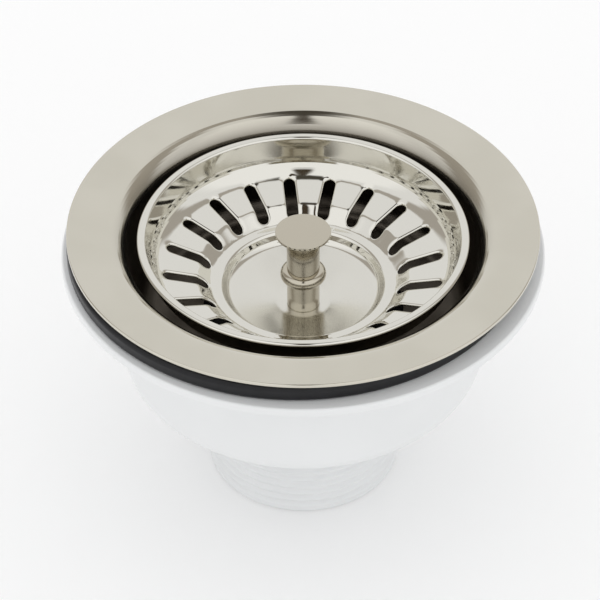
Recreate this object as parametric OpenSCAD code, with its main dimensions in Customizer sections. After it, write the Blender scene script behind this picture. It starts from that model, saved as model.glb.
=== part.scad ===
// Kitchen sink drain: a 90 mm basket strainer waste with a G1 1/2 outlet.
// The origin is at the middle of the outlet's lower end, and +Z is up.

/* [Steel dish and its flange] */
// Diameter of the well just below the flange
well_d = 85.2; // [83:0.2:86]
// Width of the flange that lies on the sink
flange_w = 13.9; // [12.5:0.1:15]
// Thickness of the pressed steel sheet
flange_t = 0.8; // [0.6:0.1:1.2]
// How far the flange's top falls between its edge and the well
flange_fall = 1.0; // [0.4:0.1:1.1]
// Rounding of the flange's outer edge
flange_edge = 0.35; // [0.1:0.05:0.4]
// Rounding from the flange into the well
well_mouth = 7.2; // [4:0.1:7.4]
// How far the well's wall leans in on its way down
well_lean = 2.4; // [1.6:0.1:3]
// Depth of the sealing seat below the flange's top
well_depth = 27.5; // [27.2:0.1:30]
// Rounding between the well's wall and its floor
well_corner = 5; // [3:0.5:7]
// Fall of the well's floor towards the seat
floor_fall = 1.2; // [0.6:0.1:2]
// Flat of the floor outside the basket's seal
seat_margin = 1.5; // [1:0.1:3]
// Diameter of the cup pressed in the middle for the screw's head
hub_d = 21.4; // [20.6:0.2:23]
// Rounding of the cup's edge and corner
hub_round = 1.2; // [0.8:0.1:1.4]
// Number of drain holes around the cup
drain_holes = 6; // [4:1:7]
// Diameter of one drain hole
drain_hole_d = 8.2; // [6:0.2:8.6]

/* [Seals against the sink] */
// Thickness of the thin gasket under the flange, at its outer edge
gasket_t = 1.2; // [1.2:0.1:2]
// How far the gasket stays back from the flange's edge
gasket_back = 2.5; // [1.5:0.1:4]
// Thickness of the black rubber washer
washer_t = 4.2; // [3:0.1:6]
// Width of the black rubber washer
washer_w = 5.0; // [4:0.1:6]
// Room between the well's rounding and both seals' holes
seal_room = 0.2; // [0.2:0.1:0.8]
// Room between the gasket's top and the flange
seal_play = 0.05; // [0:0.01:0.1]
// Rounding of the washer's outer edge
washer_edge = 1.3; // [0.5:0.1:1.4]
// How far the washer sits to the left of the middle
washer_left = 1.6; // [0:0.1:2]
// How far the washer sits to the front of the middle
washer_front = 0.5; // [0:0.1:1.2]

/* [Plastic body] */
// Width of the body's flange
body_flange_w = 9.8; // [9:0.1:12]
// Thickness of the body's flange
body_flange_t = 2.4; // [1.6:0.1:3]
// Rounding of the body flange's edge
body_flange_edge = 0.6; // [0.2:0.1:0.7]
// Room between the dish and the bowl's wall
bowl_room = 2.2; // [1:0.1:3]
// Wall thickness of the bowl
bowl_wall = 2.6; // [2:0.1:3]
// Slope of the bowl's wall from upright, in degrees
bowl_draft = 7.6; // [3:0.2:9]
// Outer rounding between the bowl's wall and its bottom
bowl_corner = 8; // [4:0.5:12]
// Outer diameter of the outlet's G1 1/2 thread
outlet_d = 47.8; // [46:0.1:49]
// Length of the outlet below the bowl
outlet_h = 31.3; // [24:0.1:40]
// Wall thickness of the outlet under its thread
outlet_wall = 3.6; // [2.6:0.1:4.4]
// Chamfer around the outlet's end
outlet_edge = 0.5; // [0.3:0.1:1]
// Number of ribs that carry the middle boss
ribs = 4; // [3:1:5]
// Thickness of one rib
rib_t = 2.6; // [2:0.1:3.4]
// How far the ribs' tops stay below the bowl's floor
rib_drop = 1; // [0.5:0.1:3]
// Outer diameter of the boss
boss_d = 19.6; // [18.8:0.2:21]
// How far the boss and its ribs reach down into the outlet
boss_sink = 7.6; // [5:0.1:9]

/* [Screw that joins dish and body] */
// Diameter of the screw's thread
screw_d = 10; // [9.4:0.1:10.4]
// How far the screw's tip stays inside the boss
screw_short = 0.7; // [0:0.1:2]
// Diameter of the screw's head
screw_head_d = 17; // [15.6:0.2:17.6]
// Height of the screw's head
screw_head_h = 2.8; // [2.2:0.1:3.4]
// Diameter of the bore through the screw
screw_bore_d = 6.6; // [6.4:0.05:7]
// Width of the driver slot across the head
screw_slot_w = 1.8; // [1.4:0.1:2.4]
// Depth of the driver slot
screw_slot_h = 1.2; // [0.8:0.1:1.5]
// Thickness of the fibre washer under the head
fibre_t = 0.8; // [0.5:0.1:1.2]
// Diameter of the fibre washer under the head
fibre_d = 18; // [17:0.2:18]
// Thickness of the rubber washer between the dish and the boss
hub_seal_t = 2; // [1.5:0.1:3]
// How far that washer stays back from the boss's edge
hub_seal_back = 0.3; // [0.1:0.1:1]
// Distance across the flats of the brass insert
insert_af = 14; // [13:0.1:14.6]
// Length of the brass insert
insert_h = 8.4; // [7:0.2:12]
// Plastic above and below the insert
insert_cover = 1.05; // [0.8:0.05:2]

/* [Basket] */
// Gap between the basket's rim and the well
basket_gap = 2.7; // [2:0.1:3.4]
// Thickness of the basket's sheet
basket_t = 0.6; // [0.5:0.05:0.8]
// Depth of the rim below the flange's top
rim_drop = 2.9; // [1:0.1:3.1]
// Width of the flat rim
rim_w = 2.0; // [1.4:0.1:2.6]
// Height of the rim's turned-down edge
rim_lip = 0.9; // [0.8:0.1:1.6]
// Rounding of the rim's edges
rim_round = 0.7; // [0.5:0.05:0.7]
// How far the wall leans in on its way down
wall_lean = 1.5; // [0.8:0.1:3]
// Height of the wall above the slotted slope
wall_h = 8.8; // [7.8:0.1:9]
// Rounding between the wall and the slope
slope_round = 6; // [4:0.5:7]
// Fall of the slotted slope
slope_fall = 3.1; // [2.4:0.1:3.3]
// Width of the step inside the slope
shelf_w = 3.6; // [3:0.1:4.4]
// Fall of that step
shelf_fall = 3.1; // [2.4:0.1:3.3]
// Diameter of the foot of the step
ledge_d = 44.6; // [43:0.2:46]
// Width of the ledge between the step and the middle recess
ledge_w = 2.5; // [2:0.1:3]
// Fall into the recess
recess_fall = 2.6; // [2.2:0.1:2.8]
// Width of the recess's sloping edge
recess_edge_w = 1.3; // [1:0.1:2]
// Fall of the recess's floor towards the handle's foot
recess_dish = 4.1; // [3.7:0.1:4.3]
// Diameter of the flat on which the handle stands
foot_flat_d = 12; // [11:0.2:14]
// Number of slots
slots = 20; // [14:1:24]
// Width of one slot
slot_w = 2.7; // [1.8:0.1:3.2]
// Distance between a slot's outer end and the wall's foot
slot_out_gap = 2.5; // [2:0.1:5]
// Distance between a slot's inner end and the step's foot
slot_in_gap = 1.0; // [0.6:0.1:3]
// Turn of the first slot from +X, in degrees
slot_turn = 6; // [0:0.5:17.5]

/* [Handle and stem] */
// Height of the cap's edge above the handle's foot
handle_h = 22.3; // [18:0.1:26]
// Diameter of the handle's cap
cap_d = 13.4; // [11:0.1:16]
// Thickness of the cap's edge
cap_t = 0.9; // [0.7:0.1:1.6]
// Bevel around the cap's lower edge
cap_edge = 0.3; // [0.1:0.1:0.5]
// Height of the dome on the cap
cap_dome = 0.35; // [0.1:0.05:0.8]
// Length of the cone under the cap
cap_cone = 1.6; // [1:0.1:3]
// Diameter of the handle's shank
shank_d = 8; // [7.6:0.1:9]
// Diameter of the bead around the shank
bead_d = 11.2; // [10:0.1:13]
// Thickness of the bead
bead_t = 3.2; // [2.6:0.1:4.4]
// Height of the bead's middle above the shank's foot
bead_z = 9.2; // [6:0.1:12]
// Depth of the tapped hole in the shank
tap_depth = 9; // [6:0.5:12]
// Room between the stem's end and that hole's end
tap_room = 1; // [0.5:0.1:2]
// Diameter of the stem
stem_d = 6; // [5.2:0.1:6.2]
// Length of the stem below the catch ring
stem_tail = 8.1; // [4:0.1:9]
// Thickness of the disc that holds the seal
disc_t = 1; // [0.8:0.1:1.2]
// Diameter of the disc that holds the seal
disc_d = 31; // [27:0.5:33]
// Thickness of the spring washer
spring_t = 1.0; // [0.8:0.1:1.4]
// Diameter of the spring washer
spring_d = 9.6; // [8.8:0.1:10.4]
// Width of the cut through the spring washer
spring_cut = 1; // [0.5:0.1:2]
// Distance across the flats of the nut
nut_af = 10; // [8.5:0.1:10.6]
// Thickness of the nut
nut_t = 2.4; // [1.8:0.1:4]
// Room between the nut and the screw's head
nut_room = 0.9; // [0.5:0.1:2]
// Outer diameter of the basket's rubber seal
basket_seal_d = 49; // [48:0.5:51]
// Thickness of the seal's lip
lip_t = 1.8; // [1.2:0.1:2.2]
// Width of the lip's sealing face
lip_w = 3; // [2:0.1:3.4]
// How far the seal stays back from that flat and from the recess's edge
seal_gap = 2.4; // [2:0.1:3]
// Thickness of the rubber ring on the stem
ring_t = 1.6; // [1.2:0.1:1.8]
// How far the basket rises before the ring catches on the screw
open_lift = 8; // [6:0.5:9]

/* [Hidden] */

$fn = 96;
// Turn between two points on a rounded corner, in degrees
arc_turn = 18;
// Radial clearance of pieces that slide on each other
slide_fit = 0.05;
// Radial clearance of screwed and pushed-on pieces
push_fit = 0.1;
// Gap between the basket's seal and its seat
seat_gap = 0.2;
// Depth to which the ribs are rooted in the outlet's wall
rib_root = 0.5;
// Depth of the bore's widened mouth, on which the ring catches
mouth = 0.8;
// How far the outlet's wider throat reaches below the ribs
throat_room = 0.3;
// More than any wall, for cuts that go right through
through = 60;

// Depths below the flange's top, from the basket down to the bowl's floor
foot_deep = rim_drop + wall_h + slope_fall + shelf_fall + recess_fall + recess_dish;
nut_deep = foot_deep + basket_t + disc_t + spring_t + nut_t;
head_deep = nut_deep + nut_room;
hub_deep = head_deep + screw_head_h + fibre_t;
boss_deep = hub_deep + flange_t + hub_seal_t;
boss_h = insert_h + 2 * insert_cover;

// Heights above the outlet's end
bowl_floor = outlet_h + bowl_wall;
boss_foot = bowl_floor - boss_sink;
boss_top = boss_foot + boss_h;
top_z = boss_top + boss_deep;
flange_under = top_z - flange_t;
body_h = flange_under - gasket_t - washer_t;
seat_z = top_z - well_depth;
hub_z = top_z - hub_deep;
head_z = hub_z + fibre_t;
head_top = head_z + screw_head_h;
insert_z = boss_foot + insert_cover;
rim_z = top_z - rim_drop;
slope_z = rim_z - wall_h;
shelf_z = slope_z - slope_fall;
ledge_z = shelf_z - shelf_fall;
recess_z = ledge_z - recess_fall;
foot_z = recess_z - recess_dish;
disc_z = foot_z - basket_t - disc_t;
spring_z = disc_z - spring_t;
nut_z = spring_z - nut_t;
ring_z = head_top - open_lift;
cap_z = foot_z + handle_h;

// Radii
well_r = well_d / 2;
flange_r = well_r + flange_w;
hub_r = hub_d / 2;
seal_hole_r = well_r + well_mouth + seal_room;
washer_r = seal_hole_r + washer_w;
seat_r = basket_seal_d / 2 + seat_margin;
lip_r = basket_seal_d / 2 - lip_w;
drain_ring_r = (hub_r + hub_round + lip_r) / 2;
bowl_r = well_r + flange_t + bowl_room + bowl_wall;
body_flange_r = bowl_r + body_flange_w;
bore_r = outlet_d / 2 - outlet_wall;
throat_r = outlet_d / 2 - bowl_wall;
screw_hole_r = screw_d / 2 + push_fit;
stem_hole_r = stem_d / 2 + push_fit;
ring_r = screw_bore_d / 2 - slide_fit - ring_t / 2;
basket_r = well_r - basket_gap;
slope_r = basket_r - rim_w - wall_lean;
ledge_r = ledge_d / 2;
recess_r = ledge_r - ledge_w;
recess_floor_r = recess_r - recess_edge_w;
foot_flat_r = foot_flat_d / 2;
slot_out_r = slope_r - slot_out_gap - slot_w / 2;
slot_in_r = ledge_r + slot_in_gap + slot_w / 2;
dome_r = (cap_d * cap_d / 4 + cap_dome * cap_dome) / (2 * cap_dome);
seal_top = recess_z - basket_t - push_fit;

// Slope of the flange's top, in degrees
flange_slope = atan(flange_fall / flange_w);

// Height of the flange's underside at radius r
function under_z(r) = top_z - (flange_r - r) * tan(flange_slope) - flange_t / cos(flange_slope);

// Slope of the recess's floor, in degrees
recess_slope = atan(recess_dish / (recess_floor_r - foot_flat_r));

// Height of that floor's underside at radius r
function floor_under_z(r) =
    foot_z + (r - foot_flat_r) * tan(recess_slope) - basket_t / cos(recess_slope);

function flat(p) = [p[0], p[1]];
function unit(v) = v / norm(v);
function turn(a) = a > 180 ? a - 360 : a < -180 ? a + 360 : a;

// Arc of radius r in the corner at b, between the points a and c
function corner(a, b, c, r) =
    let (u = unit(a - b), v = unit(c - b), half = acos(u * v) / 2)
    let (middle = b + unit(u + v) * r / sin(half))
    let (from = b + u * r / tan(half) - middle, to = b + v * r / tan(half) - middle)
    let (start = atan2(from[1], from[0]), sweep = turn(atan2(to[1], to[0]) - start))
    let (steps = max(2, ceil(abs(sweep) / arc_turn)))
    [for (i = [0 : steps])
        middle + r * [cos(start + sweep * i / steps), sin(start + sweep * i / steps)]];

// Path through points [radius, height, rounding]
function rounded(p) = [for (i = [0 : len(p) - 1])
    each (i == 0 || i == len(p) - 1 || p[i][2] == undef) ? [flat(p[i])]
        : corner(flat(p[i - 1]), flat(p[i]), flat(p[i + 1]), p[i][2])];

// Left-hand normal of a path at its point i, long enough to keep the sheet's thickness
function mitre(p, i) =
    let (a = i == 0 ? p[1] - p[0] : p[i] - p[i - 1])
    let (b = i == len(p) - 1 ? a : p[i + 1] - p[i])
    let (n = unit(unit([-a[1], a[0]]) + unit([-b[1], b[0]])))
    n / (n * unit([-a[1], a[0]]));

// Closed outline of a sheet of thickness t, on the left-hand side of its path from point k on
function sheet(p, t, k = 0) = concat(p, [for (i = [len(p) - 1 : -1 : k]) p[i] + t * mitre(p, i)]);

module ring(outer_d, inner_d, h) {
    difference() {
        cylinder(d = outer_d, h = h);
        translate([0, 0, -through / 2]) cylinder(d = inner_d, h = h + through);
    }
}

// The dish's upper surface, from the flange's edge to the screw hole
dish_path = rounded([
    [flange_r, flange_under],
    [flange_r, top_z, flange_edge],
    [well_r, top_z - flange_fall, well_mouth],
    [well_r - well_lean, seat_z + floor_fall, well_corner],
    [seat_r, seat_z, 2],
    [hub_r + hub_round, seat_z, hub_round],
    [hub_r, hub_z, hub_round],
    [screw_hole_r, hub_z]]);

// Points of that path on the flange's outer edge
edge_points = 1 + ceil(90 / arc_turn);

module top_flange() {
    color([0.78, 0.77, 0.72]) difference() {
        rotate_extrude() polygon(sheet(dish_path, flange_t, edge_points));
        for (i = [0 : drain_holes - 1]) rotate([0, 0, (i + 0.5) * 360 / drain_holes])
            translate([drain_ring_r, 0, seat_z - through / 2])
                cylinder(d = drain_hole_d, h = through);
    }
}

module flange_gasket() {
    outer_r = flange_r - gasket_back;
    color([0.1, 0.1, 0.1]) rotate_extrude() polygon([
        [seal_hole_r, body_h + washer_t],
        [outer_r, body_h + washer_t],
        [outer_r, under_z(outer_r) - seal_play],
        [seal_hole_r, under_z(seal_hole_r) - seal_play]]);
}

module deck_washer() {
    color([0.08, 0.08, 0.08]) translate([-washer_left, -washer_front, body_h])
        rotate_extrude() polygon(rounded([
            [seal_hole_r + washer_left, 0],
            [washer_r, 0, washer_edge],
            [washer_r, washer_t, washer_edge],
            [seal_hole_r + washer_left, washer_t]]));
}

// Outside of the bowl and outlet, from the flange's top to the outlet's end
bowl_lean = (body_h - body_flange_t - outlet_h) * tan(bowl_draft);
bowl_round = min(bowl_corner, bowl_r - bowl_lean - outlet_d / 2 - outlet_edge);
bowl_outside = rounded([
    [0, body_h],
    [body_flange_r, body_h, body_flange_edge],
    [body_flange_r, body_h - body_flange_t, body_flange_edge],
    [bowl_r, body_h - body_flange_t],
    [bowl_r - bowl_lean, outlet_h, bowl_round],
    [outlet_d / 2, outlet_h],
    [outlet_d / 2, outlet_edge],
    [outlet_d / 2 - outlet_edge, 0],
    [0, 0]]);

// Inside of the bowl, a wall's thickness within the outside
bowl_inside = rounded([
    [0, body_h + 1],
    [bowl_r - bowl_wall, body_h + 1],
    [bowl_r - bowl_wall, body_h - body_flange_t],
    [bowl_r - bowl_wall - bowl_lean, bowl_floor, bowl_round - bowl_wall],
    [0, bowl_floor]]);

module waste_body() {
    color([0.94, 0.94, 0.93]) difference() {
        union() {
            difference() {
                rotate_extrude() polygon(bowl_outside);
                rotate_extrude() polygon(bowl_inside);
                translate([0, 0, -1]) cylinder(r = bore_r, h = bowl_floor + 2);
                translate([0, 0, boss_foot - throat_room])
                    cylinder(r = throat_r, h = boss_sink + throat_room + 1);
            }
            translate([0, 0, boss_foot]) cylinder(d = boss_d, h = boss_h);
            for (i = [0 : ribs - 1]) rotate([0, 0, (i + 0.5) * 360 / ribs])
                translate([0, -rib_t / 2, boss_foot])
                    cube([throat_r + rib_root, rib_t, boss_sink - rib_drop]);
        }
        translate([0, 0, boss_foot - 1]) cylinder(r = screw_hole_r, h = boss_h + 2);
        translate([0, 0, insert_z]) hexagon(insert_af + 2 * push_fit, insert_h);
    }
}

module hexagon(flats, h) {
    cylinder(d = flats / cos(30), h = h, $fn = 6);
}

module insert_nut() {
    color([0.8, 0.65, 0.3]) translate([0, 0, insert_z]) difference() {
        hexagon(insert_af, insert_h);
        translate([0, 0, -1]) cylinder(r = screw_hole_r, h = insert_h + 2);
    }
}

module hub_seal() {
    color([0.1, 0.1, 0.1]) translate([0, 0, boss_top])
        ring(boss_d - 2 * hub_seal_back, 2 * screw_hole_r, hub_seal_t);
}

module fibre_washer() {
    color([0.55, 0.25, 0.15]) translate([0, 0, hub_z])
        ring(fibre_d, 2 * screw_hole_r, fibre_t);
}

module fixing_screw() {
    color([0.75, 0.74, 0.7]) difference() {
        union() {
            translate([0, 0, boss_foot + screw_short])
                cylinder(d = screw_d, h = head_z - boss_foot - screw_short);
            translate([0, 0, head_z]) cylinder(d = screw_head_d, h = screw_head_h);
        }
        translate([0, 0, head_z - through / 2]) cylinder(d = screw_bore_d, h = through);
        translate([0, 0, head_top - mouth]) cylinder(r1 = screw_bore_d / 2,
            r2 = screw_bore_d / 2 + mouth + 1, h = mouth + 1);
        translate([-screw_head_d, -screw_slot_w / 2, head_top - screw_slot_h])
            cube([2 * screw_head_d, screw_slot_w, through]);
    }
}

// The basket's upper surface, from the rim's turned-down edge to the stem's hole
basket_path = rounded([
    [basket_r, rim_z - rim_lip],
    [basket_r, rim_z, rim_round],
    [basket_r - rim_w, rim_z, rim_round],
    [slope_r, slope_z, slope_round],
    [ledge_r + shelf_w, shelf_z, 2],
    [ledge_r, ledge_z, 1.2],
    [recess_r, ledge_z, 1.2],
    [recess_floor_r, recess_z, 2.4],
    [foot_flat_r, foot_z, 5],
    [stem_hole_r, foot_z]]);

// Outline of one slot with round ends, along +X
module slot_outline() {
    translate([slot_in_r, -slot_w / 2]) square([slot_out_r - slot_in_r, slot_w]);
    for (r = [slot_in_r, slot_out_r]) translate([r, 0]) circle(d = slot_w);
}

module basket_bowl() {
    color([0.8, 0.8, 0.78]) difference() {
        rotate_extrude() polygon(sheet(basket_path, basket_t));
        translate([0, 0, rim_z - through / 2]) linear_extrude(through)
            for (i = [0 : slots - 1]) rotate(slot_turn + i * 360 / slots) slot_outline();
    }
}

module handle() {
    color([0.74, 0.72, 0.67]) difference() {
        union() {
            translate([0, 0, foot_z]) cylinder(d = shank_d, h = cap_z - foot_z);
            rotate_extrude() translate([bead_d / 2 - bead_t / 2, foot_z + bead_z])
                circle(d = bead_t);
            intersection() {
                translate([0, 0, cap_z + cap_dome - dome_r]) sphere(r = dome_r);
                rotate_extrude() polygon([[0, cap_z - cap_t - cap_cone],
                    [shank_d / 2, cap_z - cap_t - cap_cone],
                    [cap_d / 2 - cap_edge, cap_z - cap_t],
                    [cap_d / 2, cap_z - cap_t + cap_edge],
                    [cap_d / 2, cap_z + cap_dome],
                    [0, cap_z + cap_dome]]);
            }
        }
        translate([0, 0, foot_z - 1]) cylinder(r = stem_hole_r, h = tap_depth + 1);
    }
}

module stem() {
    foot = ring_z - stem_tail;
    color([0.75, 0.74, 0.7]) difference() {
        translate([0, 0, foot])
            cylinder(d = stem_d, h = foot_z + tap_depth - tap_room - foot);
        translate([0, 0, ring_z - ring_t / 2 - slide_fit]) difference() {
            cylinder(d = 2 * stem_d, h = ring_t + 2 * slide_fit);
            cylinder(r = ring_r - ring_t / 2 - slide_fit, h = ring_t + 2 * slide_fit);
        }
    }
}

module basket_seal() {
    inner_r = foot_flat_r + seal_gap;
    outer_r = recess_floor_r - seal_gap;
    color([0.08, 0.08, 0.08]) rotate_extrude() polygon([
        [inner_r, floor_under_z(inner_r) - push_fit],
        [outer_r, floor_under_z(outer_r) - push_fit],
        [recess_floor_r, seal_top - lip_t],
        [basket_seal_d / 2, seat_z + seat_gap + lip_t],
        [basket_seal_d / 2, seat_z + seat_gap],
        [lip_r, seat_z + seat_gap],
        [disc_d / 2 + 1, disc_z + disc_t],
        [inner_r, disc_z + disc_t]]);
}

module seal_disc() {
    color([0.7, 0.7, 0.68]) translate([0, 0, disc_z]) ring(disc_d, 2 * stem_hole_r, disc_t);
}

module spring_washer() {
    color([0.6, 0.6, 0.6]) translate([0, 0, spring_z]) difference() {
        ring(spring_d, 2 * stem_hole_r, spring_t);
        translate([0, -spring_cut / 2, -1]) cube([spring_d, spring_cut, spring_t + 2]);
    }
}

module stem_nut() {
    color([0.7, 0.7, 0.68]) translate([0, 0, nut_z]) difference() {
        hexagon(nut_af, nut_t);
        translate([0, 0, -1]) cylinder(r = stem_hole_r, h = nut_t + 2);
    }
}

module catch_ring() {
    color([0.1, 0.1, 0.1]) rotate_extrude() translate([ring_r, ring_z]) circle(d = ring_t);
}

top_flange();
flange_gasket();
deck_washer();
waste_body();
insert_nut();
hub_seal();
fibre_washer();
fixing_screw();
basket_bowl();
handle();
stem();
basket_seal();
seal_disc();
spring_washer();
stem_nut();
catch_ring();
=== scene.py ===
# Kitchen sink drain: the looks of its pieces, the light and the camera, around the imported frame.
import math

import bmesh
import bpy
from mathutils import Matrix, Vector


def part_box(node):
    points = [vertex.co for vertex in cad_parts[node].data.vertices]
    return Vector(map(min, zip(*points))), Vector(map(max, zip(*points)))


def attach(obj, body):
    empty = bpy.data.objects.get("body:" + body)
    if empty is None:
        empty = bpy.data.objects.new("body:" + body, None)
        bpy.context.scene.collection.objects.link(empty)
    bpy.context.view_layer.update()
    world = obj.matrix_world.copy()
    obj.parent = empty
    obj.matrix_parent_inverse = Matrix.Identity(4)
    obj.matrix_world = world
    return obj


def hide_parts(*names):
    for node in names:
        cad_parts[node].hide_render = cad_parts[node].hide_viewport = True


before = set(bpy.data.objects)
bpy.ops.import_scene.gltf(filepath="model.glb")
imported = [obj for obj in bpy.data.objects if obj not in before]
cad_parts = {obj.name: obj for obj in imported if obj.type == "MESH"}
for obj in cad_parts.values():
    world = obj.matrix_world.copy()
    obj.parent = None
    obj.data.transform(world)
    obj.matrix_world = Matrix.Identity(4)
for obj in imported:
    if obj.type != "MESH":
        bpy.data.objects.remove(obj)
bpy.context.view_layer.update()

MM = 0.001


def top(node):
    """Highest point of a CAD node, in millimetres."""
    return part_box(node)[1][2] / MM


def bottom(node):
    """Lowest point of a CAD node, in millimetres."""
    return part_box(node)[0][2] / MM


def radius(node):
    """Outer radius of a round CAD node, in millimetres."""
    low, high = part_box(node)
    return (high[0] - low[0]) / 2 / MM


# Steel dish, in millimetres
FLANGE_T = 0.8
FLANGE_FALL = 1.0
FLANGE_EDGE = 0.35
WELL_R = 42.6
WELL_MOUTH = 7.2
WELL_LEAN = 2.4
WELL_DEPTH = 27.5
WELL_CORNER = 5
FLOOR_FALL = 1.2
SEAT_R = 26
SEAT_ROUND = 2
HUB_R = 10.7
HUB_ROUND = 1.2
DRAIN_HOLES = 6
DRAIN_HOLE_R = 4.1
DRAIN_RING_R = 16.7
SCREW_HOLE_R = 5.1

# Basket, in millimetres
BASKET_T = 0.6
RIM_DROP = 2.9
RIM_W = 2.0
RIM_LIP = 0.9
RIM_ROUND = 0.7
WALL_LEAN = 1.5
WALL_H = 8.8
SLOPE_ROUND = 6
SLOPE_FALL = 3.1
SHELF_W = 3.6
SHELF_FALL = 3.1
SHELF_ROUND = 2
LEDGE_R = 22.3
LEDGE_ROUND = 1.2
LEDGE_W = 2.5
RECESS_EDGE = 1.2
RECESS_FALL = 2.6
RECESS_EDGE_W = 1.3
RECESS_ROUND = 2.4
RECESS_DISH = 4.1
FOOT_FLAT_R = 6
FOOT_ROUND = 5
SLOTS = 20
SLOT_W = 2.7
SLOT_OUT_R = 32.55
SLOT_IN_R = 24.65
SLOT_TURN = math.radians(6)
SLOT_ROLL = 0.3
SLOT_ROLL_W = 0.9

# Handle and stem, in millimetres
HANDLE_EDGE_H = 22.3
CAP_T = 0.9
CAP_EDGE = 0.3
CAP_CONE = 1.6
SHANK_R = 4.0
BEAD_R = 5.6
BEAD_T = 3.2
BEAD_Z = 9.2
STEM_HOLE_R = 3.1
TAP_DEPTH = 9

# Plastic body, in millimetres
BODY_FLANGE_T = 2.4
BODY_FLANGE_EDGE = 0.6
BOWL_R = 48.2
BOWL_WALL = 2.6
BOWL_DRAFT = math.radians(7.6)
BOWL_CORNER = 8
OUTLET_R = 23.9
OUTLET_H = 31.3
OUTLET_EDGE = 0.5
BORE_R = 20.3
THREAD_PITCH = 2.309
THREAD_DEPTH = 0.9
RIBS = 4
RIB_T = 2.6
RIB_ROOT = 0.5
RIB_DROP = 1
THROAT_R = 21.3
THROAT_ROOM = 0.3
BOSS_R = 9.8
BOSS_H = 10.5
BOSS_SINK = 7.6
INSERT_R = 8.2

# Washer on the body, in millimetres
WASHER_EDGE = 1.3
SEAL_ROOM = 0.2

# Meshing
ARC_TURN = math.radians(6)
FINE_TURN = math.radians(0.5)
AROUND = 240
SHARP = math.radians(32)
SUPPORT = 0.08
WELD = 1e-4

# Depths below the flange, in millimetres, between which the well turns rough and takes on painted shade,
# and the painted shade's tone there
WELL_SHADE_AND_DULL_START = 1.2
WELL_SHADE_AND_DULL_FULL = 6
WELL_PAINTED_SHADE_TONE = (0.17, 0.15, 0.125)

# Satin of the basket's recess: roughness added to the polish, and width of the change
RECESS_SATIN = 0.14
RECESS_SATIN_W = 1.5

# Studio: tones by direction, as heights (sine of the elevation) and turns from the front (radians)
AROUND_LEVEL = 1.0
WALL_TONE = (0.9, 0.9, 0.9)
BOX_TONE = (1.05, 1.05, 1.05)
BOX_END = (1.15, 1.45)
GAP_TONE = (0.06, 0.045, 0.03)
GAP_END = (0.1, 0.2)
GAP_FOOT = (0.69, 0.74)
FLAG_TONE = (0.45, 0.42, 0.38)
FLAG_START = (1.65, 1.8)
FLAG_END = (2.15, 2.35)
CEILING = (0.965, 0.995)
CEILING_TONE = (0.07, 0.062, 0.05)

FLANGE_R = radius("top_flange")
BASKET_R = radius("basket_bowl")
RIM_Z = top("basket_bowl")
TOP_Z = RIM_Z + RIM_DROP
FLANGE_UNDER = TOP_Z - FLANGE_T
HUB_Z = bottom("top_flange") + FLANGE_T
SEAT_Z = TOP_Z - WELL_DEPTH
BODY_R = radius("waste_body")
BODY_H = top("waste_body")
BOWL_FLOOR = OUTLET_H + BOWL_WALL
BOSS_FOOT = BOWL_FLOOR - BOSS_SINK


def corner(a, b, c, r, turn):
    """Points of the arc of radius r in the corner at b, between a and c."""
    u = (a - b).normalized()
    v = (c - b).normalized()
    half = u.angle(v) / 2
    middle = b + (u + v).normalized() * r / math.sin(half)
    start = b + u * r / math.tan(half) - middle
    end = b + v * r / math.tan(half) - middle
    first = math.atan2(start.y, start.x)
    sweep = math.remainder(math.atan2(end.y, end.x) - first, math.tau)
    steps = max(2, math.ceil(abs(sweep) / turn))
    angles = [first + sweep * i / steps for i in range(steps + 1)]
    return [middle + r * Vector((math.cos(t), math.sin(t))) for t in angles]


def rounded(points, turn=ARC_TURN):
    """Path through points (radius, height, rounding), with its corners as arcs."""
    flat = [Vector(p[:2]) for p in points]
    path = []
    for i, point in enumerate(points):
        if len(point) == 2 or i in (0, len(points) - 1):
            path.append(flat[i])
        else:
            path += corner(flat[i - 1], flat[i], flat[i + 1], point[2], turn)
    return path


def supported(path, longest=3.0):
    """The path with its straight stretches cut up, so that smooth shading stays true on them."""
    result = [path[0]]
    for a, b in zip(path, path[1:]):
        length = (b - a).length
        if length > 6 * SUPPORT:
            along = (b - a) / length
            steps = math.ceil(length / longest)
            result.append(a + along * SUPPORT)
            result += [a + along * length * i / steps for i in range(1, steps)]
            result.append(b - along * SUPPORT)
        result.append(b)
    return result


def left_of(path, distance):
    """The path moved sideways to its left-hand side."""
    moved = []
    for i, point in enumerate(path):
        before = (path[max(i, 1)] - path[max(i, 1) - 1]).normalized()
        last = min(i, len(path) - 2)
        after = (path[last + 1] - path[last]).normalized()
        normal = Vector((-before.y - after.y, before.x + after.x)).normalized()
        moved.append(point + normal * distance / normal.dot(Vector((-before.y, before.x))))
    return moved


def height_on(path):
    """Function that gives the path's height at a radius, for a path that runs inwards."""
    def height(r):
        for a, b in zip(path, path[1:]):
            if b.x <= r <= a.x and a.x > b.x:
                return a.y + (b.y - a.y) * (a.x - r) / (a.x - b.x)
        return path[0].y if r > path[0].x else path[-1].y
    return height


def revolve(bm, path, around=AROUND, closed=True, bend=None, start=0.0):
    """Adds the surface that a path of (radius, height) sweeps about the axis."""
    rings = []
    for point in path:
        ring = []
        for k in range(around):
            angle = start + math.tau * k / around
            r, z = bend(point.x, point.y, angle) if bend else (point.x, point.y)
            ring.append(bm.verts.new((r * math.cos(angle), r * math.sin(angle), z)))
        rings.append(ring)
    pairs = list(zip(rings, rings[1:]))
    if closed:
        pairs.append((rings[-1], rings[0]))
    for a, b in pairs:
        for k in range(around):
            n = (k + 1) % around
            bm.faces.new((a[k], a[n], b[n], b[k]))


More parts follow.
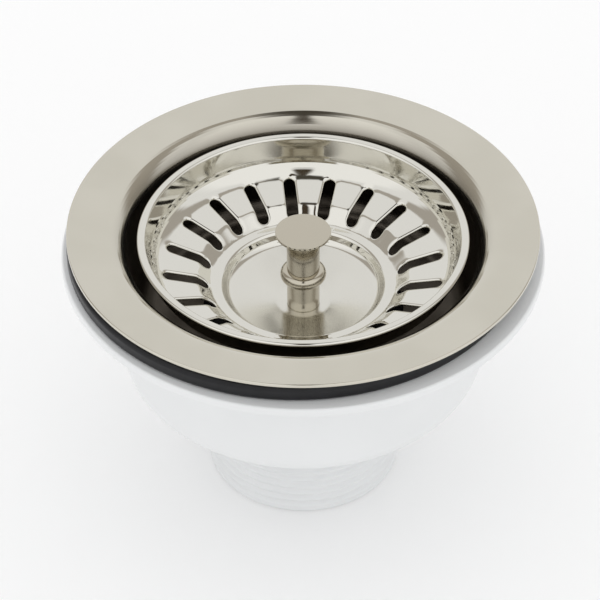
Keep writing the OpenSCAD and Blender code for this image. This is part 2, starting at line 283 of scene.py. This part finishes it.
def piece(bm, name, material, slot, body, *nodes):
    """Turns bm, in millimetres, into a piece on a body that stands for the CAD nodes."""
    bmesh.ops.remove_doubles(bm, verts=bm.verts, dist=WELD)
    bmesh.ops.recalc_face_normals(bm, faces=bm.faces)
    bmesh.ops.scale(bm, vec=(MM, MM, MM), verts=bm.verts)
    mesh = bpy.data.meshes.new(name)
    bm.to_mesh(mesh)
    bm.free()
    mesh.shade_smooth()
    mesh.set_sharp_from_angle(angle=SHARP)
    mesh.materials.append(material)
    obj = bpy.data.objects.new(name, mesh)
    bpy.context.scene.collection.objects.link(obj)
    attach(obj, body)
    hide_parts(*nodes)
    return obj


def combine(obj, tool, operation):
    """Adds the tool mesh to an object, or cuts it away, and deletes the tool."""
    change = obj.modifiers.new("combine", "BOOLEAN")
    change.object = tool
    change.operation = operation
    change.solver = "EXACT"
    depsgraph = bpy.context.evaluated_depsgraph_get()
    mesh = bpy.data.meshes.new_from_object(obj.evaluated_get(depsgraph), depsgraph=depsgraph)
    obj.modifiers.clear()
    old = obj.data
    obj.data = mesh
    mesh.name = old.name
    bpy.data.meshes.remove(old)
    bpy.data.objects.remove(tool)


def perforated_sector(bm, span, inner, outer, hole_in, hole_out, hole_r, surface, rings, across, along):
    """Returns the loops of points for one sector of a pressed sheet with a slot or round hole in it, for
    the sector about +X.

    surface(x, y, distance, level) places a point: distance is from the hole's edge, and level
    runs from 1 on the sheet's upper side to -1 on its lower side.
    """
    border = []
    for i in range(across):
        angle = span * (i / across - 0.5)
        border.append((inner * math.cos(angle), inner * math.sin(angle)))
    for i in range(along):
        r = inner + (outer - inner) * i / along
        border.append((r * math.cos(span / 2), r * math.sin(span / 2)))
    for i in range(across):
        angle = span * (0.5 - i / across)
        border.append((outer * math.cos(angle), outer * math.sin(angle)))
    for i in range(along):
        r = outer + (inner - outer) * i / along
        border.append((r * math.cos(span / 2), -r * math.sin(span / 2)))
    loops = []
    for distance, level, share in rings:
        loop = []
        for x, y in border:
            centre = min(max(x, hole_in), hole_out)
            away = Vector((x - centre, y))
            edge = Vector((centre, 0)) + away.normalized() * (hole_r + distance)
            place = edge.lerp(Vector((x, y)), share)
            gap = (place - Vector((min(max(place.x, hole_in), hole_out), 0))).length - hole_r
            loop.append(surface(place.x, place.y, gap, level))
        loops.append(loop)
    return loops


def add_loops(bm, loops, angle):
    """Adds the strips between closed loops of points, turned about the axis."""
    turned = Matrix.Rotation(angle, 3, "Z")
    rings = [[bm.verts.new(turned @ Vector(p)) for p in loop] for loop in loops]
    for a, b in zip(rings, rings[1:]):
        for k in range(len(a)):
            n = (k + 1) % len(a)
            bm.faces.new((a[k], a[n], b[n], b[k]))


def hole_rings(nose, reach, steps):
    """Rings of a perforated sector: sheet outside, rounded edge of the hole, sheet's lower side."""
    outward = [(reach, 1 - i / steps) for i in range(steps)]
    rings = [(distance, 1.0, share) for distance, share in outward]
    rings += [(reach * 0.75, 1.0, 0.0), (reach * 0.5, 1.0, 0.0)]
    for i in range(9):
        angle = math.pi / 2 - math.pi * i / 8
        rings.append((nose * (1 - math.cos(angle)), math.sin(angle), 0.0))
    rings += [(reach * 0.5, -1.0, 0.0), (reach * 0.75, -1.0, 0.0)]
    rings += [(distance, -1.0, share) for distance, share in reversed(outward)]
    return rings


def shader_material(name, colour, metallic, roughness):
    """New material with a Principled shader; returns it with its nodes, links and shader."""
    material = bpy.data.materials.new(name)
    material.use_nodes = True
    nodes = material.node_tree.nodes
    shader = nodes["Principled BSDF"]
    shader.inputs["Base Color"].default_value = (*colour, 1)
    shader.inputs["Metallic"].default_value = metallic
    shader.inputs["Roughness"].default_value = roughness
    return material, nodes, material.node_tree.links, shader


def noise_on(nodes, links, scale, detail=3.0, stretch=(1, 1, 1)):
    """Noise in the row frame; scale is in features per metre."""
    place = nodes.new("ShaderNodeTexCoord")
    mapping = nodes.new("ShaderNodeMapping")
    mapping.inputs["Scale"].default_value = stretch
    noise = nodes.new("ShaderNodeTexNoise")
    noise.inputs["Scale"].default_value = scale
    noise.inputs["Detail"].default_value = detail
    links.new(place.outputs["Object"], mapping.inputs["Vector"])
    links.new(mapping.outputs["Vector"], noise.inputs["Vector"])
    return noise.outputs["Fac"]


def turned_noise(nodes, links, rings, along, lift):
    """Noise drawn out round the axis, as on a turned or spun surface."""
    place = nodes.new("ShaderNodeTexCoord")
    split = nodes.new("ShaderNodeSeparateXYZ")
    flat = nodes.new("ShaderNodeVectorMath")
    flat.operation = "MULTIPLY"
    flat.inputs[1].default_value = (1, 1, 0)
    length = nodes.new("ShaderNodeVectorMath")
    length.operation = "LENGTH"
    turn = nodes.new("ShaderNodeMath")
    turn.operation = "ARCTAN2"
    joined = nodes.new("ShaderNodeCombineXYZ")
    noise = nodes.new("ShaderNodeTexNoise")
    noise.inputs["Scale"].default_value = 1.0
    noise.inputs["Detail"].default_value = 2.0
    scaled = nodes.new("ShaderNodeVectorMath")
    scaled.operation = "MULTIPLY"
    scaled.inputs[1].default_value = (rings, along, lift)
    links.new(place.outputs["Object"], split.inputs[0])
    links.new(place.outputs["Object"], flat.inputs[0])
    links.new(flat.outputs["Vector"], length.inputs[0])
    links.new(split.outputs["Y"], turn.inputs[0])
    links.new(split.outputs["X"], turn.inputs[1])
    links.new(length.outputs["Value"], joined.inputs["X"])
    links.new(turn.outputs["Value"], joined.inputs["Y"])
    links.new(split.outputs["Z"], joined.inputs["Z"])
    links.new(joined.outputs["Vector"], scaled.inputs[0])
    links.new(scaled.outputs["Vector"], noise.inputs["Vector"])
    return noise.outputs["Fac"]


def spread(nodes, links, value, low, high):
    """Maps a noise's usual range to low and high."""
    mapped = nodes.new("ShaderNodeMapRange")
    mapped.inputs["From Min"].default_value = 0.3
    mapped.inputs["From Max"].default_value = 0.7
    mapped.inputs["To Min"].default_value = low
    mapped.inputs["To Max"].default_value = high
    links.new(value, mapped.inputs["Value"])
    return mapped.outputs["Result"]


def tint(nodes, links, value, dark, light, shader):
    """Lets a noise move the base colour between two tones."""
    ramp = nodes.new("ShaderNodeValToRGB")
    ramp.color_ramp.elements[0].position = 0.3
    ramp.color_ramp.elements[0].color = (*dark, 1)
    ramp.color_ramp.elements[1].position = 0.7
    ramp.color_ramp.elements[1].color = (*light, 1)
    links.new(value, ramp.inputs["Fac"])
    links.new(ramp.outputs["Color"], shader.inputs["Base Color"])


def bump(nodes, links, value, height, shader, strength=1.0):
    """Bump of a height in metres."""
    node = nodes.new("ShaderNodeBump")
    node.inputs["Strength"].default_value = strength
    node.inputs["Distance"].default_value = height
    links.new(value, node.inputs["Height"])
    links.new(node.outputs["Normal"], shader.inputs["Normal"])


def calculate(nodes, links, operation, first, second=0.0):
    """Math node on sockets or numbers."""
    node = nodes.new("ShaderNodeMath")
    node.operation = operation
    for i, value in enumerate((first, second)):
        if isinstance(value, bpy.types.NodeSocket):
            links.new(value, node.inputs[i])
        else:
            node.inputs[i].default_value = value
    return node.outputs["Value"]


def rise(nodes, links, value, low, high):
    """Smooth step from 0 at low to 1 at high."""
    node = nodes.new("ShaderNodeMapRange")
    node.interpolation_type = "SMOOTHSTEP"
    node.inputs["From Min"].default_value = low
    node.inputs["From Max"].default_value = high
    links.new(value, node.inputs["Value"])
    return node.outputs["Result"]


def shade(nodes, links, share, first, second):
    """Mixes two tones: first where the share is 0, second where it is 1."""
    node = nodes.new("ShaderNodeMix")
    node.data_type = "RGBA"
    links.new(share, node.inputs["Factor"])
    for name, tone in (("A", first), ("B", second)):
        socket = next(i for i in node.inputs if i.name == name and i.type == "RGBA")
        if isinstance(tone, bpy.types.NodeSocket):
            links.new(tone, socket)
        else:
            socket.default_value = (*tone, 1)
    return next(o for o in node.outputs if o.type == "RGBA")


def place_of(nodes, links):
    """Distance from the axis and height, in metres, of a point in the row frame."""
    place = nodes.new("ShaderNodeTexCoord")
    split = nodes.new("ShaderNodeSeparateXYZ")
    links.new(place.outputs["Object"], split.inputs[0])
    squares = [calculate(nodes, links, "POWER", split.outputs[axis], 2.0) for axis in "XY"]
    return calculate(nodes, links, "SQRT", calculate(nodes, links, "ADD", *squares)), split.outputs["Z"]


def satin_steel():
    """Pressed steel, polished on the flange; down in the well it is rougher and darkened with painted
    shade.
    """
    material, nodes, links, shader = shader_material("satin_steel", (0.64, 0.61, 0.53), 1.0, 0.1)
    mottle = rise(nodes, links, noise_on(nodes, links, 60, 2), 0.3, 0.7)
    bright = shade(nodes, links, mottle, (0.625, 0.597, 0.52), (0.655, 0.627, 0.55))
    away, height = place_of(nodes, links)
    # Painted shade: with depth below the flange the base colour fades to a dark tone, standing in for
    # shade in the well; the same share also raises the roughness.
    unshaded_polished_share = rise(nodes, links, height, (TOP_Z - WELL_SHADE_AND_DULL_FULL) * MM, (TOP_Z - WELL_SHADE_AND_DULL_START) * MM)
    links.new(shade(nodes, links, unshaded_polished_share, WELL_PAINTED_SHADE_TONE, bright), shader.inputs["Base Color"])
    smudge = spread(nodes, links, noise_on(nodes, links, 110, 3), 0.07, 0.11)
    dull = calculate(nodes, links, "MULTIPLY", calculate(nodes, links, "SUBTRACT", 1.0, unshaded_polished_share), 0.22)
    links.new(calculate(nodes, links, "ADD", smudge, dull), shader.inputs["Roughness"])
    bump(nodes, links, noise_on(nodes, links, 45, 1), 0.00003, shader, 0.4)
    return material


def polished_steel():
    """Mirror-polished sheet with faint smudges."""
    material, nodes, links, shader = shader_material("polished_steel", (0.74, 0.725, 0.67), 1.0, 0.05)
    smudge = spread(nodes, links, noise_on(nodes, links, 160, 4), 0.03, 0.08)
    away, height = place_of(nodes, links)
    recess_r = LEDGE_R - LEDGE_W - RECESS_EDGE_W
    inner = calculate(nodes, links, "SUBTRACT", 1.0, rise(
        nodes, links, away, (recess_r - RECESS_SATIN_W) * MM, recess_r * MM))
    satin = calculate(nodes, links, "MULTIPLY", inner, RECESS_SATIN)
    links.new(calculate(nodes, links, "ADD", smudge, satin), shader.inputs["Roughness"])
    bump(nodes, links, noise_on(nodes, links, 90, 1), 0.00004, shader, 0.5)
    return material


def satin_nickel():
    """Turned and nickel-plated metal."""
    material, nodes, links, shader = shader_material("satin_nickel", (0.545, 0.505, 0.42), 1.0, 0.12)
    shader.inputs["Anisotropic"].default_value = 0.3
    tangent = nodes.new("ShaderNodeTangent")
    tangent.direction_type = "RADIAL"
    tangent.axis = "Z"
    links.new(tangent.outputs["Tangent"], shader.inputs["Tangent"])
    grain = turned_noise(nodes, links, 3000, 3, 3000)
    links.new(spread(nodes, links, grain, 0.09, 0.15), shader.inputs["Roughness"])
    bump(nodes, links, grain, 0.000001, shader)
    return material


def plain_steel():
    """Turned steel of the screw, stem, disc and nut."""
    material, nodes, links, shader = shader_material("plain_steel", (0.56, 0.56, 0.55), 1.0, 0.3)
    links.new(spread(nodes, links, noise_on(nodes, links, 900, 3), 0.24, 0.4), shader.inputs["Roughness"])
    bump(nodes, links, turned_noise(nodes, links, 7000, 5, 7000), 0.000006, shader)
    return material


def black_rubber():
    """Smooth moulded rubber."""
    material, nodes, links, shader = shader_material("black_rubber", (0.006, 0.006, 0.007), 0.0, 0.34)
    shader.inputs["Specular IOR Level"].default_value = 0.3
    tint(nodes, links, noise_on(nodes, links, 300), (0.005, 0.005, 0.006), (0.008, 0.008, 0.01), shader)
    links.new(spread(nodes, links, noise_on(nodes, links, 700, 4), 0.3, 0.38), shader.inputs["Roughness"])
    bump(nodes, links, noise_on(nodes, links, 2200, 2), 0.000004, shader)
    return material


def white_plastic():
    """Moulded white polypropylene."""
    material, nodes, links, shader = shader_material("white_plastic", (0.81, 0.82, 0.825), 0.0, 0.35)
    tint(nodes, links, noise_on(nodes, links, 40, 2), (0.8, 0.81, 0.815), (0.82, 0.83, 0.835), shader)
    links.new(spread(nodes, links, noise_on(nodes, links, 900, 4), 0.3, 0.42), shader.inputs["Roughness"])
    bump(nodes, links, noise_on(nodes, links, 1500, 2), 0.000008, shader)
    return material


def brass():
    """Brass of the insert."""
    material, nodes, links, shader = shader_material("brass", (0.7, 0.5, 0.2), 1.0, 0.3)
    links.new(spread(nodes, links, noise_on(nodes, links, 900, 3), 0.25, 0.4), shader.inputs["Roughness"])
    bump(nodes, links, turned_noise(nodes, links, 7000, 5, 7000), 0.000006, shader)
    return material


def red_fibre():
    """Vulcanised fibre of the washer under the screw's head."""
    material, nodes, links, shader = shader_material("red_fibre", (0.36, 0.09, 0.05), 0.0, 0.65)
    tint(nodes, links, noise_on(nodes, links, 1200, 4), (0.3, 0.07, 0.04), (0.4, 0.11, 0.06), shader)
    bump(nodes, links, noise_on(nodes, links, 3000, 3), 0.00002, shader)
    return material


SATIN_STEEL = satin_steel()
POLISHED_STEEL = polished_steel()
SATIN_NICKEL = satin_nickel()
PLAIN_STEEL = plain_steel()
BLACK_RUBBER = black_rubber()
WHITE_PLASTIC = white_plastic()
BRASS = brass()
RED_FIBRE = red_fibre()


def make_dish():
    """Flange, well and hub, pressed from one sheet, with its drain holes."""
    corners = [
        (WELL_R - WELL_LEAN, SEAT_Z + FLOOR_FALL, WELL_CORNER),
        (SEAT_R, SEAT_Z, SEAT_ROUND),
        (HUB_R + HUB_ROUND, SEAT_Z, HUB_ROUND),
        (HUB_R, HUB_Z, HUB_ROUND),
        (SCREW_HOLE_R, HUB_Z)]
    edge = [(FLANGE_R, FLANGE_UNDER), (FLANGE_R, TOP_Z, FLANGE_EDGE)]
    mouth = [(WELL_R, TOP_Z - FLANGE_FALL, WELL_MOUTH)]
    upper = supported(rounded(edge + mouth + corners))
    edge_end = next(i for i, p in enumerate(upper) if p.x < FLANGE_R - FLANGE_EDGE)
    under = left_of(upper, FLANGE_T)[edge_end:]
    first, last = DRAIN_RING_R - DRAIN_HOLE_R - 0.6, DRAIN_RING_R + DRAIN_HOLE_R + 0.6
    outside = [p for p in upper if p.x > last] + [Vector((last, SEAT_Z))]
    outside_under = [Vector((last, SEAT_Z - FLANGE_T))] + [p for p in reversed(under) if p.x > last]
    inside = [Vector((first, SEAT_Z))] + [p for p in upper if p.x < first]
    inside_under = [p for p in reversed(under) if p.x < first] + [Vector((first, SEAT_Z - FLANGE_T))]
    bm = bmesh.new()
    revolve(bm, outside_under + outside, closed=False)
    revolve(bm, inside + inside_under, closed=False)

    def surface(x, y, distance, level):
        return x, y, SEAT_Z - FLANGE_T / 2 + level * FLANGE_T / 2

    span = math.tau / DRAIN_HOLES
    loops = perforated_sector(bm, span, first, last, DRAIN_RING_R, DRAIN_RING_R, DRAIN_HOLE_R,
                              surface, hole_rings(0.15, 0.3, 3), AROUND // DRAIN_HOLES, 8)
    for k in range(DRAIN_HOLES):
        add_loops(bm, loops, span * (k + 0.5))
    return piece(bm, "flange_and_well", SATIN_STEEL, "satin_steel", "drain", "top_flange")


def basket_path(turn):
    """The basket's upper surface, from the rim's turned-down edge to the stem's hole."""
    slope_z = RIM_Z - WALL_H
    shelf_z = slope_z - SLOPE_FALL
    ledge_z = shelf_z - SHELF_FALL
    recess_z = ledge_z - RECESS_FALL
    foot_z = recess_z - RECESS_DISH
    return rounded([
        (BASKET_R, RIM_Z - RIM_LIP),
        (BASKET_R, RIM_Z, RIM_ROUND),
        (BASKET_R - RIM_W, RIM_Z, RIM_ROUND),
        (BASKET_R - RIM_W - WALL_LEAN, slope_z, SLOPE_ROUND),
        (LEDGE_R + SHELF_W, shelf_z, SHELF_ROUND),
        (LEDGE_R, ledge_z, LEDGE_ROUND),
        (LEDGE_R - LEDGE_W, ledge_z, RECESS_EDGE),
        (LEDGE_R - LEDGE_W - RECESS_EDGE_W, recess_z, RECESS_ROUND),
        (FOOT_FLAT_R, foot_z, FOOT_ROUND),
        (STEM_HOLE_R, foot_z)], turn)


def make_basket():
    """Polished basket with its ring of slots, whose edges are rolled down and rounded."""
    fine = basket_path(FINE_TURN)
    upper_height = height_on(fine)
    lower_height = height_on(left_of(fine, BASKET_T))
    upper = supported(basket_path(ARC_TURN))
    lower = left_of(upper, BASKET_T)
    first, last = SLOT_IN_R - SLOT_W / 2 - 1.7, SLOT_OUT_R + SLOT_W / 2 + 1.4
    around = SLOTS * 16

    def surface(x, y, distance, level):
        r = math.hypot(x, y)
        high, low = upper_height(r), lower_height(r)
        roll = SLOT_ROLL * max(0.0, 1 - distance / SLOT_ROLL_W) ** 2
        return x, y, (high + low) / 2 + level * (high - low) / 2 - roll

    cut = [Vector((r, height(r))) for r, height in (
        (last, upper_height), (last, lower_height), (first, upper_height), (first, lower_height))]
    outside = [p for p in upper if p.x > last] + [cut[0]]
    outside_lower = [cut[1]] + [p for p in reversed(lower) if p.x > last]
    inside = [cut[2]] + [p for p in upper if p.x < first]
    inside_lower = [p for p in reversed(lower) if p.x < first] + [cut[3]]
    bm = bmesh.new()
    span = math.tau / SLOTS
    start = SLOT_TURN - span / 2
    revolve(bm, outside_lower + outside, around, closed=False, start=start)
    revolve(bm, inside + inside_lower, around, closed=False, start=start)
    loops = perforated_sector(bm, span, first, last, SLOT_IN_R, SLOT_OUT_R, SLOT_W / 2,
                              surface, hole_rings(BASKET_T / 2, SLOT_ROLL_W, 5), 16, 26)
    for k in range(SLOTS):
        add_loops(bm, loops, SLOT_TURN + span * k)
    return piece(bm, "strainer_basket", POLISHED_STEEL, "polished_steel", "basket", "basket_bowl")


def make_handle():
    """Turned handle with its cap and bead."""
    foot = bottom("handle")
    cap_z = foot + HANDLE_EDGE_H
    dome = top("handle") - cap_z
    cap_r = radius("handle")
    dome_r = (cap_r ** 2 + dome ** 2) / (2 * dome)
    tip = math.asin(cap_r / dome_r)
    steps = 16
    cap = [Vector((dome_r * math.sin(tip * i / steps),
                   cap_z + dome - dome_r * (1 - math.cos(tip * i / steps)))) for i in range(steps)]
    bead_r = BEAD_T / 2
    reach = math.acos((SHANK_R - BEAD_R + bead_r) / bead_r)
    bead = [Vector((BEAD_R - bead_r + bead_r * math.cos(t), foot + BEAD_Z + bead_r * math.sin(t)))
            for t in [reach - 2 * reach * i / 20 for i in range(21)]]
    path = cap + rounded([
        (cap_r - 0.3, cap_z + 0.03),
        (cap_r, cap_z, 0.15),
        (cap_r, cap_z - CAP_T + CAP_EDGE, 0.15),
        (cap_r - CAP_EDGE, cap_z - CAP_T, 0.15),
        (SHANK_R, cap_z - CAP_T - CAP_CONE, 0.5),
        (SHANK_R, foot + BEAD_Z + bead_r * math.sin(reach) + 0.01)]) + bead
    path += [
        Vector((SHANK_R, foot + 0.2)),
        Vector((SHANK_R - 0.2, foot)),
        Vector((STEM_HOLE_R, foot)),
        Vector((STEM_HOLE_R, foot + TAP_DEPTH)),
        Vector((0, foot + TAP_DEPTH))]
    bm = bmesh.new()
    revolve(bm, supported(path, 6.0), 128, closed=False)
    return piece(bm, "turned_handle", SATIN_NICKEL, "satin_nickel", "basket", "handle")


def thread(z, angle, low, high):
    """Depth of the outlet's rounded thread, run out at both ends."""
    wave = 0.5 - 0.5 * math.cos(math.tau * (z / THREAD_PITCH - angle / math.tau))
    run_out = min(1.0, max(0.0, (z - low) / THREAD_PITCH), max(0.0, (high - z) / THREAD_PITCH))
    return THREAD_DEPTH * wave * run_out


def make_body():
    """White moulding: flange, bowl, threaded outlet, and the boss on its ribs."""
    bowl_lean = (BODY_H - BODY_FLANGE_T - OUTLET_H) * math.tan(BOWL_DRAFT)
    outside = rounded([
        (BODY_R - 3, BODY_H),
        (BODY_R, BODY_H, BODY_FLANGE_EDGE),
        (BODY_R, BODY_H - BODY_FLANGE_T, BODY_FLANGE_EDGE),
        (BOWL_R, BODY_H - BODY_FLANGE_T, 0.6),
        (BOWL_R - bowl_lean, OUTLET_H, BOWL_CORNER),
        (OUTLET_R, OUTLET_H)])
    rows = 130
    low, high = OUTLET_EDGE, OUTLET_H
    outlet = [Vector((OUTLET_R, high + (low - high) * i / rows)) for i in range(1, rows + 1)]
    inside = rounded([
        (OUTLET_R - OUTLET_EDGE, 0),
        (BORE_R, 0),
        (BORE_R, BOSS_FOOT - THROAT_ROOM),
        (THROAT_R, BOSS_FOOT - THROAT_ROOM),
        (THROAT_R, BOWL_FLOOR, 0.5),
        (BOWL_R - BOWL_WALL - bowl_lean, BOWL_FLOOR, BOWL_CORNER - BOWL_WALL),
        (BOWL_R - BOWL_WALL, BODY_H - BODY_FLANGE_T),
        (BOWL_R - BOWL_WALL, BODY_H)])

    def cut_thread(r, z, angle):
        if abs(r - OUTLET_R) > 0.001 or z >= OUTLET_H:
            return r, z
        return r - thread(z, angle, 0.5, OUTLET_H - 1.5), z

    bm = bmesh.new()
    revolve(bm, supported(outside) + outlet + supported(inside), 192, bend=cut_thread)
    body = piece(bm, "waste_bowl", WHITE_PLASTIC, "white_plastic", "drain", "waste_body")

    bm = bmesh.new()
    for k in range(RIBS):
        rib = bmesh.ops.create_cube(bm, size=1)["verts"]
        height = BOSS_SINK - RIB_DROP
        length = THROAT_R + RIB_ROOT
        place = Matrix.Rotation((k + 0.5) * math.tau / RIBS, 4, "Z")
        place = place @ Matrix.Translation((length / 2, 0, BOSS_FOOT + height / 2))
        place = place @ Matrix.Diagonal((length, RIB_T, height, 1))
        bmesh.ops.transform(bm, matrix=place, verts=rib)
    combine_solids(body, bm, "UNION")
    bm = bmesh.new()
    boss = [Vector(p) for p in ((0, 0), (BOSS_R, 0), (BOSS_R, BOSS_H), (0, BOSS_H))]
    revolve(bm, [Vector((p.x, p.y + BOSS_FOOT)) for p in boss], 96, closed=False)
    combine_solids(body, bm, "UNION")
    for hole_r, low_z, high_z in (
            (SCREW_HOLE_R, BOSS_FOOT - 1, BOSS_FOOT + BOSS_H + 1),
            (INSERT_R, bottom("insert_nut"), top("insert_nut"))):
        bm = bmesh.new()
        hole = [Vector(p) for p in ((0, low_z), (hole_r, low_z), (hole_r, high_z), (0, high_z))]
        revolve(bm, hole, 96, closed=False)
        combine_solids(body, bm, "DIFFERENCE")
    body.data.set_sharp_from_angle(angle=SHARP)
    return body


def combine_solids(obj, bm, operation):
    """Adds or cuts a solid given in millimetres."""
    bmesh.ops.remove_doubles(bm, verts=bm.verts, dist=WELD)
    bmesh.ops.recalc_face_normals(bm, faces=bm.faces)
    bmesh.ops.scale(bm, vec=(MM, MM, MM), verts=bm.verts)
    mesh = bpy.data.meshes.new("tool")
    bm.to_mesh(mesh)
    bm.free()
    tool = bpy.data.objects.new("tool", mesh)
    bpy.context.scene.collection.objects.link(tool)
    combine(obj, tool, operation)


def make_washer():
    """Thick black washer between the sink and the body, slightly off centre."""
    low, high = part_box("deck_washer")
    middle_x, middle_y = (low[0] + high[0]) / 2 / MM, (low[1] + high[1]) / 2 / MM
    outer, under, upper = radius("deck_washer"), bottom("deck_washer"), top("deck_washer")
    hole = WELL_R + WELL_MOUTH + SEAL_ROOM - middle_x
    path = rounded([
        (hole, (under + upper) / 2),
        (hole, under, 0.3),
        (outer, under, WASHER_EDGE),
        (outer, upper, WASHER_EDGE),
        (hole, upper, 0.3)])
    bm = bmesh.new()
    revolve(bm, supported(path), 192)
    bmesh.ops.translate(bm, vec=(middle_x, middle_y, 0), verts=bm.verts)
    return piece(bm, "sink_washer", BLACK_RUBBER, "black_rubber", "drain", "deck_washer")


def finish_node(node, material):
    """Gives a CAD node its material."""
    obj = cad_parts[node]
    obj.data.materials.clear()
    obj.data.materials.append(material)


def make_studio():
    """Pale walls, soft boxes in front with a dark gap between them, side flags and a dark ceiling."""
    world = bpy.data.worlds.new("studio")
    bpy.context.scene.world = world
    world.use_nodes = True
    nodes, links = world.node_tree.nodes, world.node_tree.links
    place = nodes.new("ShaderNodeTexCoord")
    split = nodes.new("ShaderNodeSeparateXYZ")
    links.new(place.outputs["Generated"], split.inputs[0])
    height = split.outputs["Z"]
    beside = calculate(nodes, links, "ABSOLUTE", split.outputs["X"])
    ahead = calculate(nodes, links, "MULTIPLY", split.outputs["Y"], -1.0)
    turn = calculate(nodes, links, "ARCTAN2", beside, ahead)
    boxes = calculate(nodes, links, "SUBTRACT", 1.0, rise(nodes, links, turn, *BOX_END))
    gap = calculate(nodes, links, "SUBTRACT", 1.0, rise(nodes, links, turn, *GAP_END))
    gap = calculate(nodes, links, "MULTIPLY", gap, rise(nodes, links, height, *GAP_FOOT))
    tones = shade(nodes, links, boxes, WALL_TONE, BOX_TONE)
    flags = calculate(nodes, links, "SUBTRACT", 1.0, rise(nodes, links, turn, *FLAG_END))
    flags = calculate(nodes, links, "MULTIPLY", flags, rise(nodes, links, turn, *FLAG_START))
    tones = shade(nodes, links, flags, tones, FLAG_TONE)
    tones = shade(nodes, links, gap, tones, GAP_TONE)
    tones = shade(nodes, links, rise(nodes, links, height, *CEILING), tones, CEILING_TONE)
    rays = nodes.new("ShaderNodeLightPath")
    tones = shade(nodes, links, rays.outputs["Is Glossy Ray"], (AROUND_LEVEL,) * 3, tones)
    tones = shade(nodes, links, rays.outputs["Is Camera Ray"], tones, (1, 1, 1))
    links.new(tones, nodes["Background"].inputs["Color"])


def make_floor():
    """White floor that keeps the object's soft shadow."""
    mesh = bpy.data.meshes.new("floor")
    reach = 4.0
    mesh.from_pydata([(-reach, -reach, 0), (reach, -reach, 0), (reach, reach, 0), (-reach, reach, 0)],
                     [], [(0, 1, 2, 3)])
    floor = bpy.data.objects.new("floor", mesh)
    bpy.context.scene.collection.objects.link(floor)
    material, nodes, links, shader = shader_material("floor", (0.98, 0.98, 0.98), 0.0, 0.9)
    shader.inputs["Specular IOR Level"].default_value = 0.0
    mesh.materials.append(material)


def make_camera():
    """Camera at the photograph's angle."""
    lens, sensor = 150.0, 36.0
    pitch, roll = math.radians(90 - 41.0), math.radians(-0.24)
    camera = bpy.data.cameras.new("camera")
    camera.lens = lens
    camera.sensor_width = sensor
    camera_object = bpy.data.objects.new("camera", camera)
    turn = Matrix.Rotation(pitch, 3, "X") @ Matrix.Rotation(roll, 3, "Z")
    camera_object.rotation_euler = turn.to_euler()
    camera_object.location = (-0.00082, -0.46208, 0.37763 + TOP_Z * MM)
    bpy.context.scene.collection.objects.link(camera_object)
    bpy.context.scene.camera = camera_object


make_camera()
make_studio()
make_floor()
make_dish()
make_basket()
make_handle()
make_body()
make_washer()
for name, finish in (
        ("flange_gasket", BLACK_RUBBER), ("insert_nut", BRASS), ("hub_seal", BLACK_RUBBER),
        ("fibre_washer", RED_FIBRE), ("fixing_screw", PLAIN_STEEL), ("stem", PLAIN_STEEL),
        ("basket_seal", BLACK_RUBBER), ("seal_disc", PLAIN_STEEL), ("spring_washer", PLAIN_STEEL),
        ("stem_nut", PLAIN_STEEL), ("catch_ring", BLACK_RUBBER)):
    finish_node(name, finish)

bpy.context.scene.view_settings.view_transform = "Standard"
